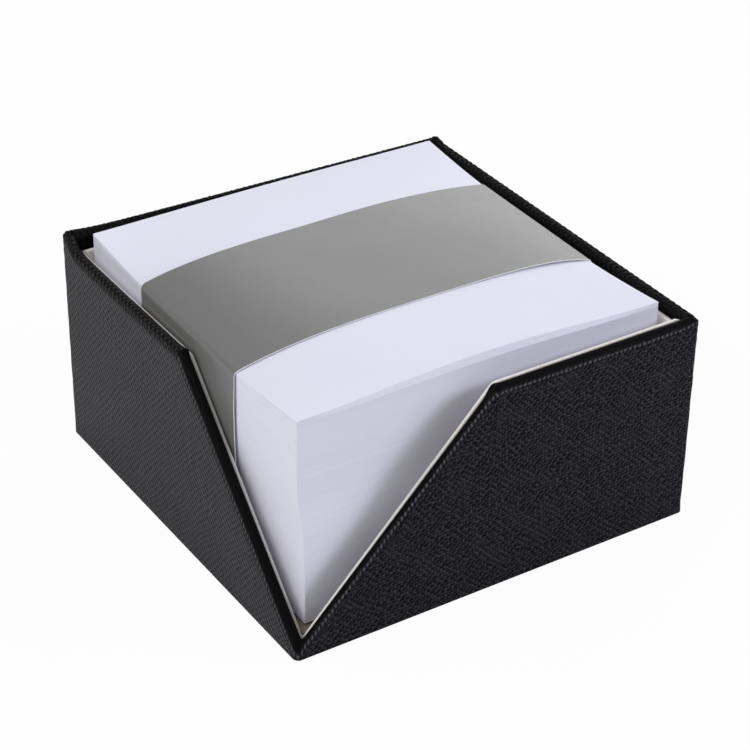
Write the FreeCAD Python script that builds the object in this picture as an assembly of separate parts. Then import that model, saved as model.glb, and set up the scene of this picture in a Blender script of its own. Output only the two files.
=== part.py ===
import FreeCAD, Part
import math
import os

from FreeCAD import Vector

# A covered rigid-board holder for a cube of loose memo sheets. One corner of the tray is cut
# down to a V so that the sheets can be gripped, and a paper band holds the sheets together.
# Millimetres, +Z up, origin at the bottom centre. The notched corner is the -X, -Y one: the
# walls that it cuts are called front (-Y) and left (-X), the two whole ones back and right.

# ---- memo sheets, which the tray is made round -----------------------------------------------
sheet_width = 90.0           # the sheets are square
sheet_t = 0.1
sheet_room = 2.0             # between the sheets and the lining, on each side
lower_ream = 265             # sheets
upper_ream = 228
ream_x, ream_y = -0.85, 0.35             # where the cube stands in that room
lower_slip_x, lower_slip_y = 1.2, -0.5   # how far the lower ream has slipped under the upper
fan_count = 8                # loose sheets on top, bowed up away from each other
fan_bow_low = 0.4            # rise of the lowest of them at mid length
fan_bow_high = 2.0           # rise of the topmost
top_sheet_play = 0.04        # the topmost sheet slides on the next

# ---- tray ------------------------------------------------------------------------------------
rim_height = 51.5            # top of the rim above the table
board_t = 1.5                # grey board of the walls
floor_board_t = 1.5          # grey board of the floor
corner_r = 1.4               # upright outer corners, over the leatherette

# ---- leatherette cover -----------------------------------------------------------------------
cover_t = 0.5
rim_fold_r = 0.8             # outer fold of the cover over the rim
rim_inner_r = 0.7            # fold on the rim's inner side
foot_fold_r = 0.35           # fold where the cover turns under the floor
turn_in_depth = 14.0         # cover glued down inside the rim
turn_under_depth = 13.0      # cover glued down under the floor

# ---- V-shaped finger notch -------------------------------------------------------------------
notch_run = 48.5             # along each cut wall, from the outer corner
notch_foot = 2.0             # height of wall left at the outer corner

# ---- corner stays, paper tape that holds the boards together ---------------------------------
stay_t = 0.15
stay_leg = 16.0
stay_end_gap = 2.0           # the tape stops this far from the board's ends

# ---- cream card lining -----------------------------------------------------------------------
liner_t = 1.5
liner_floor_t = 1.5
liner_drop = 2.4             # below the rim
liner_setback = 0.9             # back from the notch's edge, square to it
liner_fit = 0.1              # play round the floor card

# ---- base sheet, pasted over the turned-under cover ------------------------------------------
base_sheet_t = 0.3
base_sheet_inset = 3.0

# ---- paper band round the cube ---------------------------------------------------------------
band_width = 41.5
band_t = 0.25
band_crown = 2.6             # rise of its top face at mid length
band_fullness = 0.5          # 1 is a plain parabola, 0 the fullest arch
band_fold_r = 0.9            # inside the two folds over the cube's top edges
band_crease_r = 0.3          # inside the two folds that the cube presses flat
band_side_play = 0.35
band_top_play = 0.40
band_under_play = 0.05
band_floor_play = 0.05
band_lap = 12.0              # the ends overlap under the cube

# ---- what follows from these -----------------------------------------------------------------
lined = sheet_width / 2 + sheet_room     # inside face of the lining, from the centre
cavity = lined + liner_t                 # inside face of the turned-in cover
board_inner = cavity + cover_t
board_outer = board_inner + board_t
outer = board_outer + cover_t            # outside of the tray

cover_z = base_sheet_t
floor_z = cover_z + cover_t
floor_top = floor_z + floor_board_t
well_z = floor_top + liner_floor_t       # the face that the cube and its band stand on
liner_top = rim_height - liner_drop
board_top = rim_height - cover_t

notch_slope = (rim_height - notch_foot) / notch_run
notch_stretch = math.hypot(1, notch_slope)

ream_z = well_z + band_floor_play + 2 * band_t + band_under_play
upper_z = ream_z + lower_ream * sheet_t
fan_z = upper_z + upper_ream * sheet_t
cube_top = fan_z + fan_count * sheet_t + top_sheet_play
band_z = ream_z - band_under_play        # inside face of the band's underside
reach = 4 * outer                        # cutting tools run out past everything


def box(x0, x1, y0, y1, z0, z1):
    """Block between two opposite corners."""
    return Part.makeBox(x1 - x0, y1 - y0, z1 - z0, Vector(x0, y0, z0))


def square(half, z0, z1, x=0.0, y=0.0):
    """Upright square block about an axis."""
    return box(x - half, x + half, y - half, y + half, z0, z1)


def rounded_square(half, radius, z0, z1):
    """Upright square block with its four upright edges rounded."""
    block = square(half, z0, z1)
    upright = [e for e in block.Edges if abs(e.tangentAt(e.FirstParameter).z) > 0.5]
    return block.makeFillet(radius, upright)


def notch_height(s, inset=0.0):
    """Height of the notch's slanting edge at a distance from the outer corner."""
    return notch_foot + notch_slope * s - inset * notch_stretch


def notch_tool(inset=0.0):
    """What the notch takes away: the air above both slanting edges, lowered by an inset."""
    start = -notch_run
    top = rim_height + reach
    end = (top - notch_foot + inset * notch_stretch) / notch_slope
    profile = [
        Vector(start - outer, 0, notch_height(start, inset)),
        Vector(end - outer, 0, top),
        Vector(start - outer, 0, top),
    ]
    face = Part.Face(Part.makePolygon(profile + profile[:1]))
    over_front = face.extrude(Vector(0, 2 * reach, 0))
    over_front.translate(Vector(0, -reach, 0))
    over_left = over_front.mirror(Vector(0, 0, 0), Vector(1, -1, 0))
    return over_front.common(over_left)


def rim_surface(x, y):
    """Height of the uncovered rim at a place in plan."""
    slant = max(notch_height(x + outer), notch_height(y + outer))
    return min(rim_height, slant)


def middle(edge):
    """Point at the middle of an edge."""
    return edge.valueAt((edge.FirstParameter + edge.LastParameter) / 2)


def rim_edges(shape, at_outside):
    """The long edges of the rim, on its outer or its inner side."""
    found = []
    for edge in shape.Edges:
        ends = [edge.valueAt(edge.FirstParameter), middle(edge), edge.valueAt(edge.LastParameter)]
        on_rim = all(abs(p.z - rim_surface(p.x, p.y)) < 0.01 for p in ends)
        inside = all(max(abs(p.x), abs(p.y)) < cavity + 0.01 for p in ends)
        outside = all(max(abs(p.x), abs(p.y)) > outer - corner_r - 0.01 for p in ends)
        if on_rim and (outside if at_outside else inside):
            found.append(edge)
    return found


def tray_envelope():
    """Everything that the cover wraps, over its own thickness, with the folds rounded."""
    body = rounded_square(outer, corner_r, cover_z, rim_height)
    body = body.cut(square(cavity, floor_top, rim_height + reach))
    body = body.cut(notch_tool())
    body = body.makeFillet(rim_fold_r, rim_edges(body, True))
    body = body.makeFillet(rim_inner_r, rim_edges(body, False))
    foot = [e for e in body.Edges if abs(middle(e).z - cover_z) < 0.01]
    return body.makeFillet(foot_fold_r, foot)


def board_ring():
    """The four wall boards before they are parted at the corners."""
    ring = rounded_square(board_outer, corner_r - cover_t, floor_z, board_top)
    ring = ring.cut(square(board_inner, floor_z, board_top))
    return ring.cut(notch_tool(cover_t))


def wall_boards():
    """Front and back boards run through, left and right stand between them."""
    ring = board_ring()
    cuts = {
        "front": box(-outer, outer, -outer, -board_inner, 0, rim_height),
        "back": box(-outer, outer, board_inner, outer, 0, rim_height),
        "left": box(-outer, -board_inner, -board_inner, board_inner, 0, rim_height),
        "right": box(board_inner, outer, -board_inner, board_inner, 0, rim_height),
    }
    return {side: ring.common(cut) for side, cut in cuts.items()}


def corner_stay(sx, sy):
    """Tape folded round an upright corner of the boards."""
    low, high = floor_z + stay_end_gap, board_top - stay_end_gap
    tape = rounded_square(board_outer + stay_t, corner_r - cover_t + stay_t, low, high)
    tape = tape.cut(rounded_square(board_outer, corner_r - cover_t, low, high))
    x = sorted((sx * (board_outer + stay_t), sx * (board_outer - stay_leg)))
    y = sorted((sy * (board_outer + stay_t), sy * (board_outer - stay_leg)))
    return tape.common(box(x[0], x[1], y[0], y[1], low, high))


def side_wedge(turns):
    """Quarter of the plan, from the centre to one side, for mitred parts."""
    corners = [Vector(0, 0, 0), Vector(-outer, -outer, 0), Vector(outer, -outer, 0)]
    wedge = Part.Face(Part.makePolygon(corners + corners[:1])).extrude(Vector(0, 0, rim_height))
    wedge.rotate(Vector(0, 0, 0), Vector(0, 0, 1), 90 * turns)
    return wedge


def wall_liners():
    """Four cards, mitred at the corners, with the notch's slant on two of them."""
    ring = square(cavity, floor_top, liner_top).cut(square(lined, floor_top, liner_top))
    ring = ring.cut(notch_tool(liner_setback))
    sides = ["front", "right", "back", "left"]
    return {side: ring.common(side_wedge(turns)) for turns, side in enumerate(sides)}


def leatherette_cover(boards, floor, stays):
    """One sheet over the walls, turned in over the rim and the notch and under the floor."""
    cover = tray_envelope()
    behind = square(cavity, floor_top, rim_height - turn_in_depth)
    behind = square(board_inner, floor_top, rim_height - turn_in_depth).cut(behind)
    behind = behind.cut(notch_tool(turn_in_depth))
    under = square(outer - turn_under_depth, 0, floor_z)
    for solid in boards + [floor] + stays + [behind, under]:
        cover = cover.cut(solid)
    return cover


def base_sheet():
    """Sheet over the turned-under edges, pressed up against the floor inside them."""
    sheet = square(outer - base_sheet_inset, 0, base_sheet_t)
    return sheet.fuse(square(outer - turn_under_depth, base_sheet_t, floor_z)).removeSplitter()


def arched_outline(x0, x1, z_low, z_end, poles):
    """Face under a curve with evenly spaced poles, whose heights stand above its ends."""
    step = (x1 - x0) / (len(poles) - 1)
    curve = Part.BezierCurve()
    curve.setPoles([Vector(x0 + i * step, 0, z_end + pole) for i, pole in enumerate(poles)])
    corners = [Vector(x1, 0, z_end), Vector(x1, 0, z_low), Vector(x0, 0, z_low),
               Vector(x0, 0, z_end)]
    return Part.Face(Part.Wire([curve.toShape()] + Part.makePolygon(corners).Edges))


def memo_sheet(z, rise):
    """One sheet that bows up along X as rise * (1 - u^2)^2, flat at both of its ends."""
    half = sheet_width / 2
    poles = [(ream_x - half + i * half / 2, pole) for i, pole in enumerate((0, 0, 8 * rise / 3, 0, 0))]
    under = Part.BezierCurve()
    under.setPoles([Vector(x, ream_y - half, z + pole) for x, pole in poles])
    over = Part.BezierCurve()
    over.setPoles([Vector(x, ream_y - half, z + sheet_t + pole) for x, pole in poles])
    return Part.makeRuledSurface(under.toShape(), over.toShape()).extrude(Vector(0, sheet_width, 0))


def fan_sheets():
    """The loose top sheets from the lowest up, each bowed a little more than the one below."""
    sheets = []
    for i in range(fan_count):
        rise = fan_bow_low + (fan_bow_high - fan_bow_low) * i / (fan_count - 1)
        play = top_sheet_play if i == fan_count - 1 else 0.0
        sheets.append(memo_sheet(fan_z + i * sheet_t + play, rise))
    return sheets


def band_prism(grow):
    """Room inside the band, or its outside when grown by its thickness."""
    left = ream_x - sheet_width / 2 - band_side_play - grow
    right = ream_x + lower_slip_x + sheet_width / 2 + band_side_play + grow
    plain = (0, 1, 4 / 3, 1, 0)          # poles of 1 - u^2
    full = (0, 2, 0, 2, 0)               # poles of 1 - u^4
    poles = [band_crown * (band_fullness * a + (1 - band_fullness) * b)
             for a, b in zip(plain, full)]
    end_z = cube_top + band_top_play + grow
    face = arched_outline(left, right, band_z - grow, end_z, poles)
    prism = face.extrude(Vector(0, band_width, 0))
    prism.translate(Vector(0, ream_y - band_width / 2, 0))
    folds = [e for e in prism.Edges if abs(e.tangentAt(e.FirstParameter).y) > 0.5]
    over = [e for e in folds if middle(e).z > cube_top]
    under = [e for e in folds if middle(e).z < ream_z]
    return prism.makeFillet(band_fold_r + grow, over).makeFillet(band_crease_r + grow, under)


def paper_band():
    """Closed loop of paper whose ends lap under the cube."""
    loop = band_prism(band_t).cut(band_prism(0.0))
    low = band_z - 2 * band_t
    y0 = ream_y - band_width / 2
    lap = box(ream_x - band_lap / 2, ream_x + band_lap / 2, y0, y0 + band_width, low, low + band_t)
    return loop.fuse(lap).removeSplitter()


def build():
    """All the pieces by node name."""
    boards = wall_boards()
    floor = square(board_inner, floor_z, floor_top)
    stays = {
        "back_left": corner_stay(-1, 1),
        "back_right": corner_stay(1, 1),
        "front_right": corner_stay(1, -1),
    }
    nodes = {
        "base_sheet": base_sheet(),
        "floor_board": floor,
        "leatherette_cover": leatherette_cover(list(boards.values()), floor, list(stays.values())),
        "floor_liner": square(lined - liner_fit, floor_top, well_z),
        "memo_ream_lower": square(sheet_width / 2, ream_z, upper_z,
                                  ream_x + lower_slip_x, ream_y + lower_slip_y),
        "memo_ream_upper": square(sheet_width / 2, upper_z, fan_z, ream_x, ream_y),
        "paper_band": paper_band(),
    }
    for side, board in boards.items():
        nodes["wall_board_" + side] = board
    for corner, stay in stays.items():
        nodes["corner_stay_" + corner] = stay
    for side, liner in wall_liners().items():
        nodes["wall_liner_" + side] = liner
    loose = fan_sheets()
    nodes["top_sheet"] = loose.pop()
    for i, sheet in enumerate(loose):
        nodes[f"loose_sheet_{i + 1}"] = sheet
    return nodes


os.makedirs("parts", exist_ok=True)
for name, shape in build().items():
    shape.exportStep(f"parts/{name}.step")
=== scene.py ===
import logging
import math
from dataclasses import dataclass, field
from enum import Enum
from typing import Optional, Union

import bpy
import numpy as np
from mathutils import Matrix, Vector


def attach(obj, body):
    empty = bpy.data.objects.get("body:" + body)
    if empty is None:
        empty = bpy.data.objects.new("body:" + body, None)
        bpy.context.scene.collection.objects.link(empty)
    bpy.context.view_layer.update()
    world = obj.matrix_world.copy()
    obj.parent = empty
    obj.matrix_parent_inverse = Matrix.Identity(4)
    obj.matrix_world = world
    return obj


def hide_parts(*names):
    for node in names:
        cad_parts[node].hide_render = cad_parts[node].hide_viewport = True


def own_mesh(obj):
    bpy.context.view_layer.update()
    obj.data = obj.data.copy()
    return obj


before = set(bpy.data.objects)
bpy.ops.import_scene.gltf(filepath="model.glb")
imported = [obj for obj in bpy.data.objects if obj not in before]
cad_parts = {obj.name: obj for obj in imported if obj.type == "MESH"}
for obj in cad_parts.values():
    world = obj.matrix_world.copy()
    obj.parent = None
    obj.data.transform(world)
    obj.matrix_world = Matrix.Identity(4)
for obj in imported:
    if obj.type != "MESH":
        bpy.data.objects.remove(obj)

MM = 0.001
TURN = 2 * math.pi
QUARTER = math.pi / 2
SHARP = math.radians(50)
log = logging.getLogger("memo_cube_holder")

Array = np.ndarray
Pair = tuple[float, float]
Colour = tuple[float, float, float]
Material = bpy.types.Material
Socket = bpy.types.NodeSocket
Piece = bpy.types.Object


# ---- surfaces


@dataclass(frozen=True)
class Ripple:
    """Smooth wandering of a surface: the mean of a few sine waves of random heading."""

    seed: int
    wavelength: float
    height: float
    waves: int = 7
    shortest: float = 0.7
    longest: float = 1.4

    def at(self, a: Array, b: Array) -> Array:
        """Height over two coordinates, from waves sin(k (a cos t + b sin t) + phase).

        Args:
            a: First coordinate.
            b: Second coordinate.

        Returns:
            The offset in mm.
        """
        rng = np.random.default_rng(self.seed)
        heading = rng.uniform(0, TURN, self.waves)
        phase = rng.uniform(0, TURN, self.waves)
        pace = TURN / (self.wavelength * rng.uniform(self.shortest, self.longest, self.waves))
        along = a[..., None] * np.cos(heading) + b[..., None] * np.sin(heading)
        return self.height * 2 * np.sin(along * pace + phase).mean(-1)


def soft_min(a: Array, b: Array, width: float) -> Array:
    """The lower of two heights, with the change from one to the other rounded over a width."""
    share = np.clip(0.5 + 0.5 * (b - a) / width, 0, 1)
    return b + (a - b) * share - width * share * (1 - share)


def soft_step(value: Array, low: float, high: float) -> Array:
    """Rise from 0 to 1 between two values as 3 t^2 - 2 t^3."""
    t = np.clip((value - low) / (high - low), 0, 1)
    return t * t * (3 - 2 * t)


def cosine_wave(count: Array) -> Array:
    """Wave from 0 to 1 with a crest at every whole number."""
    return 0.5 + 0.5 * np.cos(TURN * count)


def grid_faces(rows: int, cols: int, closed: bool = False) -> Array:
    """Quads of a grid of vertices, anticlockwise when columns run right and rows run up.

    Args:
        rows: Rows of vertices.
        cols: Columns of vertices.
        closed: Whether the last row and column join the first ones.

    Returns:
        Row and column numbers, shape (2, quads, 4), not wrapped.
    """
    i, j = np.meshgrid(np.arange(rows if closed else rows - 1),
                       np.arange(cols if closed else cols - 1), indexing="ij")
    i, j = i.ravel(), j.ravel()
    return np.array([np.stack([i, i, i + 1, i + 1], -1), np.stack([j, j + 1, j + 1, j], -1)])


def add_object(name: str, data: bpy.types.ID) -> Piece:
    """Puts a mesh, camera or lamp into the scene.

    Args:
        name: Its name.
        data: The mesh, camera or lamp.

    Returns:
        The object.
    """
    made = bpy.data.objects.new(name, data)
    bpy.context.scene.collection.objects.link(made)
    return made


def add_piece(name: str, points: Array, faces: list[list[int]], creased: bool = False) -> Piece:
    """Makes an object shaded smooth, with its place in its mesh.

    Args:
        name: Its name.
        points: Vertices, shape (n, 3), in mm.
        faces: Vertex numbers of each face.
        creased: Whether sharp edges stay sharp in the shading.

    Returns:
        The object, linked to the scene.
    """
    mesh = bpy.data.meshes.new(name)
    mesh.from_pydata((points * MM).tolist(), [], faces)
    mesh.shade_smooth()
    mesh.update()
    if creased:
        mesh.set_sharp_from_angle(angle=SHARP)
    return add_object(name, mesh)


def ring_of(grid: Array) -> Array:
    """The border of a grid (rows, cols, ...), anticlockwise from its first corner."""
    return np.concatenate([grid[0, :-1], grid[:-1, -1], grid[-1, :0:-1], grid[:0:-1, 0]])


def add_slab(name: str, top: Array, bottom: Array, sides: Optional[Array] = None) -> Piece:
    """Makes a closed piece between two grids, joined by strips that may pass through rings.

    Args:
        name: Its name.
        top: Upper grid, shape (rows, cols, 3), in mm, rows towards +Y, columns towards +X.
        bottom: Lower grid.
        sides: Rings between their borders from the top down, shape (rings, border, 3).

    Returns:
        The object. Its first faces are the upper ones.
    """
    rows, cols = top.shape[:2]
    i, j = grid_faces(rows, cols)
    number = np.arange(rows * cols).reshape(rows, cols)
    upper = number[i, j]
    lower = upper[:, ::-1] + rows * cols
    border = ring_of(number)
    rings = np.zeros((0, len(border), 3)) if sides is None else sides
    between = 2 * rows * cols + np.arange(len(rings) * len(border)).reshape(-1, len(border))
    stack = np.concatenate([border[None], between, border[None] + rows * cols])
    after = np.roll(stack, -1, axis=1)
    strips = np.stack([stack[:-1], stack[1:], after[1:], after[:-1]], -1).reshape(-1, 4)
    points = np.concatenate([top.reshape(-1, 3), bottom.reshape(-1, 3), rings.reshape(-1, 3)])
    return add_piece(name, points, np.concatenate([upper, lower, strips]).tolist(), creased=True)


def add_bar(name: str, rings: Array) -> Piece:
    """Makes a closed piece from rings of points that follow each other, with flat ends.

    Args:
        name: Its name.
        rings: Shape (rings, points, 3), in mm; each ring turns anticlockwise round the way on.

    Returns:
        The object.
    """
    count, size = rings.shape[:2]
    i, j = grid_faces(count, size + 1)
    faces = (i * size + j % size).tolist()
    faces.append(list(range(size))[::-1])
    faces.append(list(range((count - 1) * size, count * size)))
    return add_piece(name, rings.reshape(-1, 3), faces, creased=True)


def add_share(piece: Piece, name: str, values: Array) -> None:
    """Gives a piece a number at each vertex, for its material to read by name."""
    layer = piece.data.attributes.new(name, "FLOAT", "POINT")
    layer.data.foreach_set("value", values.astype(np.float32).ravel())


def dress(piece: Piece, node: str, body: str, slot: str, *finishes: Material) -> None:
    """Gives a new piece its place in the object and its materials, and reports it.

    Args:
        piece: The piece.
        node: Solid that it stands for.
        body: Body that it rides on.
        slot: Name of its material slot; not used.
        finishes: Its materials, in the order of its faces' material numbers.
    """
    for finish in finishes:
        piece.data.materials.append(finish)
    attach(piece, body)
    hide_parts(node)
    log.info("%s: %d faces, rides on %s", piece.name, len(piece.data.polygons), body)


def refinish(node: str, finish: Material) -> None:
    """Gives a solid that stays as it is a better material, and reports it.

    Args:
        node: The solid.
        finish: Its material.
    """
    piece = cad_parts[node]
    if piece.material_slots:
        piece.material_slots[0].material = finish
    else:
        piece.data.materials.append(finish)
    log.info("%s: kept, finished as %s", node, finish.name)


# ---- shader maths


class Value:
    """A number in a material that varies over the surface, with ordinary arithmetic."""

    def __init__(self, tree: "NodeTree", socket: Socket) -> None:
        """Wraps an output socket of a node in a tree."""
        self.tree = tree
        self.socket = socket

    def _with(self, operation: str, *others: "Number") -> "Value":
        """Joins this value to others through a Math node."""
        return self.tree.maths(operation, self, *others)

    def __add__(self, other: "Number") -> "Value":
        """Sum."""
        return self._with("ADD", other)

    def __mul__(self, other: "Number") -> "Value":
        """Product."""
        return self._with("MULTIPLY", other)

    __radd__ = __add__
    __rmul__ = __mul__

    def __sub__(self, other: "Number") -> "Value":
        """Difference."""
        return self._with("SUBTRACT", other)

    def __rsub__(self, other: "Number") -> "Value":
        """Difference from a number."""
        return self.tree.maths("SUBTRACT", other, self)

    def __truediv__(self, other: "Number") -> "Value":
        """Quotient."""
        return self._with("DIVIDE", other)

    def __pow__(self, other: "Number") -> "Value":
        """Power."""
        return self._with("POWER", other)

    def root(self) -> "Value":
        """Square root."""
        return self._with("SQRT")

    def wave(self) -> "Value":
        """Cosine wave from 0 to 1 with a crest at every whole number."""
        return (self * TURN)._with("COSINE") * 0.5 + 0.5

    def step(self, low: float, high: float) -> "Value":
        """Smooth rise from 0 to 1 between two values, or fall where the first is the higher."""
        inputs = {"Value": self, "From Min": low, "From Max": high}
        return self.tree.value("MapRange", inputs, interpolation_type="SMOOTHSTEP")


Number = Union[float, Value]
Link = Union[Socket, Value]
Paint = Union[Colour, Value]


class NodeTree:
    """The nodes of one material, or of the sky, built from expressions."""

    def __init__(self, name: str, kind: str = "materials") -> None:
        """Starts an empty material or, as kind "worlds", a sky."""
        self.owner = getattr(bpy.data, kind).new(name)
        self.owner.use_nodes = True
        self.output = "OutputMaterial" if kind == "materials" else "OutputWorld"
        self.owner.node_tree.nodes.clear()

    def node(self, kind: str, inputs: Optional[dict] = None, **settings: str) -> bpy.types.Node:
        """Adds a node.

        Args:
            kind: Its type, without the words ShaderNode.
            inputs: Numbers or links for its inputs, by name or number.
            settings: Its properties, set first.

        Returns:
            The node.
        """
        made = self.owner.node_tree.nodes.new("ShaderNode" + kind)
        for key, setting in settings.items():
            setattr(made, key, setting)
        for key, given in (inputs or {}).items():
            given = given.socket if isinstance(given, Value) else given
            if isinstance(given, Socket):
                self.owner.node_tree.links.new(given, made.inputs[key])
            else:
                made.inputs[key].default_value = given
        return made

    def value(self, kind: str, inputs: Optional[dict] = None, output: Union[int, str] = 0,
              **settings: str) -> Value:
        """Adds a node and wraps one of its outputs, by name or number."""
        return Value(self, self.node(kind, inputs, **settings).outputs[output])

    def maths(self, operation: str, *terms: Number) -> Value:
        """Adds a Math node on up to three numbers."""
        return self.value("Math", dict(enumerate(terms)), operation=operation)

    def place(self) -> Socket:
        """The point on the surface in the object's own coordinates, in metres."""
        return self.node("TexCoord").outputs["Object"]

    def share(self, name: str) -> Value:
        """A number that the mesh gives at each vertex."""
        return self.value("Attribute", None, "Fac", attribute_name=name)

    def split(self, vector: Link) -> list[Value]:
        """The three numbers of a vector or colour."""
        return [Value(self, part) for part in self.node("SeparateXYZ", {0: vector}).outputs]

    def offset(self, vector: Link, origin: Link) -> Socket:
        """A vector less another."""
        return self.node("VectorMath", {0: vector, 1: origin}, operation="SUBTRACT").outputs[0]

    def stretched(self, vector: Link, scale: Colour, turn: float = 0.0) -> Socket:
        """A vector turned about Z and then scaled along each axis.

        Args:
            vector: The vector.
            scale: Factor on each axis.
            turn: Angle in degrees.

        Returns:
            The changed vector.
        """
        if turn:
            angle = {"Vector": vector, "Angle": math.radians(turn)}
            vector = self.node("VectorRotate", angle, rotation_type="Z_AXIS").outputs[0]
        return self.node("VectorMath", {0: vector, 1: scale}, operation="MULTIPLY").outputs[0]

    def noise(self, vector: Link, scale: float, detail: float = 2.0, roughness: float = 0.5) -> Value:
        """Cloudy noise between 0 and 1."""
        inputs = {"Vector": vector, "Scale": scale, "Detail": detail, "Roughness": roughness}
        return self.value("TexNoise", inputs)

    @staticmethod
    def _paint(given: Paint) -> Union[tuple[float, ...], Value]:
        """A colour with its fourth number, or a link as it is."""
        return given if isinstance(given, Value) else (*given, 1.0)

    def blend(self, share: Number, first: Paint, second: Paint) -> Value:
        """Colour between two colours, the first where the share is 0."""
        inputs = {0: share, 6: self._paint(first), 7: self._paint(second)}
        return self.value("Mix", inputs, 2, data_type="RGBA")

    def bump(self, height: Value, depth: float) -> Value:
        """Surface normal of a height that is 1 at the given depth in mm."""
        return self.value("Bump", {"Height": height, "Distance": depth * MM, "Strength": 1.0}, "Normal")

    def surface(self, colour: Paint, roughness: Number, normal: Value, specular: float) -> Socket:
        """A Principled surface, whose specular level is the same all over."""
        return self.node("BsdfPrincipled", {
            "Base Color": self._paint(colour), "Roughness": roughness, "Normal": normal,
            "Specular IOR Level": specular}).outputs[0]

    def mixed(self, share: Number, first: Socket, second: Socket) -> Socket:
        """A surface between two surfaces, the first where the share is 0."""
        return self.node("MixShader", {0: share, 1: first, 2: second}).outputs[0]

    def close(self, surface: Socket) -> Union[Material, bpy.types.World]:
        """Leads the surface to the output, and gives the material or sky."""
        self.node(self.output, {"Surface": surface})
        return self.owner


# ---- finishes


def tone(red: int, green: int, blue: int) -> Colour:
    """Linear colour from the 0 to 255 numbers of a paint chart.

    Args:
        red: Red.
        green: Green.
        blue: Blue.

    Returns:
        The colour.
    """
    encoded = np.array([red, green, blue]) / 255
    linear = np.where(encoded <= 0.04045, encoded / 12.92, ((encoded + 0.055) / 1.055) ** 2.4)
    return tuple(float(c) for c in linear)


@dataclass(frozen=True)
class Leatherette:
    """Black embossed leatherette: slanting oval pits side by side in rows that run downhill.

    Its UV map "grain" counts pits along a row and rows across them. Its UV map "edge" counts the
    beads along a folded edge and gives the distance past their crest in mm; beyond them, over
    the edge, the sheet is stretched without embossing and darkened: painted shade. The pits are
    darkened as painted shade and the ridges lightened as a painted highlight. On the cover's share
    "calm_and_lit" the pits are shallow and the skin and ridges lighter, a painted sheen; on "net"
    the far rims keep their embossing, with painted highlights on its knobs; and on "glint" the
    beads carry a painted highlight.
    """

    skin: Colour = tone(19, 18, 23)
    # painted highlight on the ridges between the rows
    ridge: Colour = tone(58, 57, 65)
    # painted sheen: the left wall's lighter skin and ridges
    left_sheen_skin: Colour = tone(29, 28, 32)
    left_sheen_ridge: Colour = tone(90, 89, 93)
    # painted highlight on the bead crowns and on the net's knobs
    bead_highlight: Colour = tone(112, 111, 118)
    # painted shade over the top and inner side of the folds
    smooth_shaded: Colour = tone(6, 5, 6)
    # painted shade in the pits and over the smooth folds
    hollow_shade: Colour = tone(8, 8, 9)
    roughness: float = 0.44
    hollow_roughness: float = 0.75
    specular: float = 0.12
    hollow_specular: float = 0.05
    pit_reach: float = 0.35
    pit_length: float = 0.44
    pit_lean: float = 0.16
    pit_depth: float = 0.2
    bead_rise: float = 1.5
    dot_rise: float = 1.2
    scatter: float = 0.36
    ridge_power: float = 3.0
    bead_foot: float = 0.50
    bead_top: float = 0.06
    bend: Pair = (0.45, 0.95)

    def _pits(self, t: NodeTree, grain: Socket) -> Value:
        """Depth of the pits: ellipses of chance size round scattered points, some of them faint.

        Args:
            t: The material's nodes.
            grain: Counts of pits and rows.

        Returns:
            Depth from 0 to 1.
        """
        cells = t.node("TexVoronoi", {"Vector": grain, "Scale": 1.0, "Randomness": self.scatter},
                       voronoi_dimensions="2D")
        across, along = t.split(t.offset(grain, cells.outputs["Position"]))[:2]
        size = t.split(cells.outputs["Color"])[0] * 0.30 + 0.80
        lean = across - along * self.pit_lean
        from_middle = ((lean / (size * self.pit_reach)) ** 2.0
                       + (along / (size * self.pit_length)) ** 2.0).root()
        patch = t.noise(t.stretched(grain, (1.0, 1.5, 1.0)), 0.16, 1.0).step(0.30, 0.52)
        return from_middle.step(1.05, 0.80) * (patch * 0.25 + 0.75)

    def build(self) -> Material:
        """Pits in rows, cosine ridges between the rows and a cosine row of beads on the folds.

        Returns:
            The material.
        """
        t = NodeTree("leatherette")
        grain = t.node("UVMap", uv_map="grain").outputs[0]
        count, past = t.split(t.node("UVMap", uv_map="edge").outputs[0])[:2]
        netted, calm_and_lit, glinting = t.share("net"), t.share("calm_and_lit"), t.share("glint")
        on_bead = (past.step(-self.bead_foot, -self.bead_top)
                   * past.step(self.bead_foot, self.bead_top))
        beyond = past.step(*self.bend)
        net = beyond * netted
        smooth_shaded = beyond * (1 - netted)
        knob = count.wave() * on_bead
        plain = (1 - on_bead * 0.8) * (1 - smooth_shaded * 0.95) * (1 - net * 0.6)
        pit = self._pits(t, grain) * plain * (1 - calm_and_lit * 0.75)
        pits, rows = t.split(grain)[:2]
        ridge = rows.wave() ** self.ridge_power
        cross = (pits.wave() ** self.ridge_power) * (0.75 - calm_and_lit * 0.25)
        dot = (pits.wave() * (ridge + 0.15)) * net
        place = t.place()
        pebble = t.noise(place, 3600.0, 3.0, 0.6)
        cloud = t.noise(place, 45.0, 3.0)
        height = (ridge * 0.8 + cross * 0.7 + pebble * 0.35) * plain - pit
        normal = t.bump(height + knob * self.bead_rise + dot * self.dot_rise, self.pit_depth)
        # colour with painted light: lighter ridges, lighter again on the left wall
        lit_colour = t.blend((ridge + cross) * (pebble + 0.2) * plain,
                       t.blend(calm_and_lit, self.skin, self.left_sheen_skin),
                       t.blend(calm_and_lit, self.ridge, self.left_sheen_ridge))
        before, after = self.bend
        # painted shade from just before the bead crest over the fold
        lit_colour = t.blend(past.step(-after, -before) * 0.9, lit_colour, self.smooth_shaded)
        # painted highlight on the bead crowns, and on the knobs of the net
        lit_colour = t.blend((knob ** 0.9) * (pebble + 0.2) * glinting + dot ** 1.5 * pebble * 0.8,
                       lit_colour, self.bead_highlight)
        roughness = cloud * 0.10 + pebble * 0.12 + (self.roughness - 0.11)
        skin = t.surface(lit_colour, roughness, normal, self.specular)
        hollow_shade = t.surface(self.hollow_shade, self.hollow_roughness, normal, self.hollow_specular)
        # the pits and the smooth folds mix in a dark, dull surface: painted shade
        return t.close(t.mixed(pit * 0.95 + smooth_shaded * 0.85, skin, hollow_shade))


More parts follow.
